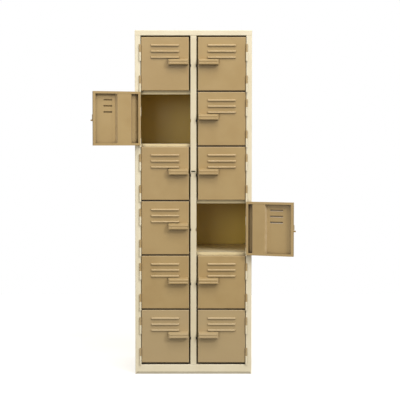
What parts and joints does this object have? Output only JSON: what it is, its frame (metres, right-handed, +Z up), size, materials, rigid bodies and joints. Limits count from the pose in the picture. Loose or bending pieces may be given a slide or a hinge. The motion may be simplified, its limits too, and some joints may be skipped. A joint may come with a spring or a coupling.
{
  "type": "coin operated locker",
  "caption": "Two-column bank of small steel lockers with inset louvred doors on lift-off hinges, box pull handles and a coin slot in the centre post; some doors stand open.",
  "frame": {"origin": "on the floor, at the centre of the cabinet's footprint and of its floor bolts", "axes": "+Z up, the doors face -Y, +X to the right as seen from the front"},
  "size_m": [1.053, 0.5601, 1.8],
  "materials": {
    "frame_paint": "semi-gloss cream enamel on sheet steel",
    "door_paint": "semi-gloss tan enamel on sheet steel",
    "steel_pin": "zinc-plated rod",
    "brass_washer": "turned brass"
  },
  "bodies": {
    "cabinet": {"left_side_panel": "frame_paint", "right_side_panel": "frame_paint", "back_panel": "frame_paint", "top_panel": "frame_paint", "base": "frame_paint", "centre_partition": "frame_paint", "centre_post": "frame_paint", "coin_slot_plate": "frame_paint", "shelves": "frame_paint", "frame_hinge_knuckles": "frame_paint", "hinge_pins": "steel_pin", "hinge_washers": "brass_washer"},
    "left_door_1": {"left_door_1_panel": "door_paint", "left_door_1_stiffener": "door_paint", "left_door_1_handle": "door_paint", "left_door_1_hinge_knuckles": "door_paint"},
    "left_door_2": {"left_door_2_panel": "door_paint", "left_door_2_stiffener": "door_paint", "left_door_2_handle": "door_paint", "left_door_2_hinge_knuckles": "door_paint"},
    "left_door_3": {"left_door_3_panel": "door_paint", "left_door_3_stiffener": "door_paint", "left_door_3_handle": "door_paint", "left_door_3_hinge_knuckles": "door_paint"},
    "left_door_4": {"left_door_4_panel": "door_paint", "left_door_4_stiffener": "door_paint", "left_door_4_handle": "door_paint", "left_door_4_hinge_knuckles": "door_paint"},
    "left_door_5": {"left_door_5_panel": "door_paint", "left_door_5_stiffener": "door_paint", "left_door_5_handle": "door_paint", "left_door_5_hinge_knuckles": "door_paint"},
    "left_door_6": {"left_door_6_panel": "door_paint", "left_door_6_stiffener": "door_paint", "left_door_6_handle": "door_paint", "left_door_6_hinge_knuckles": "door_paint"},
    "right_door_1": {"right_door_1_panel": "door_paint", "right_door_1_stiffener": "door_paint", "right_door_1_handle": "door_paint", "right_door_1_hinge_knuckles": "door_paint"},
    "right_door_2": {"right_door_2_panel": "door_paint", "right_door_2_stiffener": "door_paint", "right_door_2_handle": "door_paint", "right_door_2_hinge_knuckles": "door_paint"},
    "right_door_3": {"right_door_3_panel": "door_paint", "right_door_3_stiffener": "door_paint", "right_door_3_handle": "door_paint", "right_door_3_hinge_knuckles": "door_paint"},
    "right_door_4": {"right_door_4_panel": "door_paint", "right_door_4_stiffener": "door_paint", "right_door_4_handle": "door_paint", "right_door_4_hinge_knuckles": "door_paint"},
    "right_door_5": {"right_door_5_panel": "door_paint", "right_door_5_stiffener": "door_paint", "right_door_5_handle": "door_paint", "right_door_5_hinge_knuckles": "door_paint"},
    "right_door_6": {"right_door_6_panel": "door_paint", "right_door_6_stiffener": "door_paint", "right_door_6_handle": "door_paint", "right_door_6_hinge_knuckles": "door_paint"}
  },
  "joints": [
    {"name": "left_door_1_hinge", "type": "hinge", "parent": "cabinet", "child": "left_door_1", "pos_m": [-0.2775, -0.2304, 1.62583], "axis": [0, 0, -1], "range_deg": [0, 170]},
    {"name": "left_door_2_hinge", "type": "hinge", "parent": "cabinet", "child": "left_door_2", "pos_m": [-0.2775, -0.2304, 1.3405], "axis": [0, 0, -1], "range_deg": [-162, 8]},
    {"name": "left_door_3_hinge", "type": "hinge", "parent": "cabinet", "child": "left_door_3", "pos_m": [-0.2775, -0.2304, 1.05517], "axis": [0, 0, -1], "range_deg": [0, 170]},
    {"name": "left_door_4_hinge", "type": "hinge", "parent": "cabinet", "child": "left_door_4", "pos_m": [-0.2775, -0.2304, 0.76983], "axis": [0, 0, -1], "range_deg": [0, 170]},
    {"name": "left_door_5_hinge", "type": "hinge", "parent": "cabinet", "child": "left_door_5", "pos_m": [-0.2775, -0.2304, 0.4845], "axis": [0, 0, -1], "range_deg": [0, 170]},
    {"name": "left_door_6_hinge", "type": "hinge", "parent": "cabinet", "child": "left_door_6", "pos_m": [-0.2775, -0.2304, 0.19917], "axis": [0, 0, -1], "range_deg": [0, 170]},
    {"name": "right_door_1_hinge", "type": "hinge", "parent": "cabinet", "child": "right_door_1", "pos_m": [0.2775, -0.2304, 1.62583], "axis": [0, 0, 1], "range_deg": [0, 170]},
    {"name": "right_door_2_hinge", "type": "hinge", "parent": "cabinet", "child": "right_door_2", "pos_m": [0.2775, -0.2304, 1.3405], "axis": [0, 0, 1], "range_deg": [0, 170]},
    {"name": "right_door_3_hinge", "type": "hinge", "parent": "cabinet", "child": "right_door_3", "pos_m": [0.2775, -0.2304, 1.05517], "axis": [0, 0, 1], "range_deg": [0, 170]},
    {"name": "right_door_4_hinge", "type": "hinge", "parent": "cabinet", "child": "right_door_4", "pos_m": [0.2775, -0.2304, 0.76983], "axis": [0, 0, 1], "range_deg": [-162, 8]},
    {"name": "right_door_5_hinge", "type": "hinge", "parent": "cabinet", "child": "right_door_5", "pos_m": [0.2775, -0.2304, 0.4845], "axis": [0, 0, 1], "range_deg": [0, 170]},
    {"name": "right_door_6_hinge", "type": "hinge", "parent": "cabinet", "child": "right_door_6", "pos_m": [0.2775, -0.2304, 0.19917], "axis": [0, 0, 1], "range_deg": [0, 170]}
  ]
}
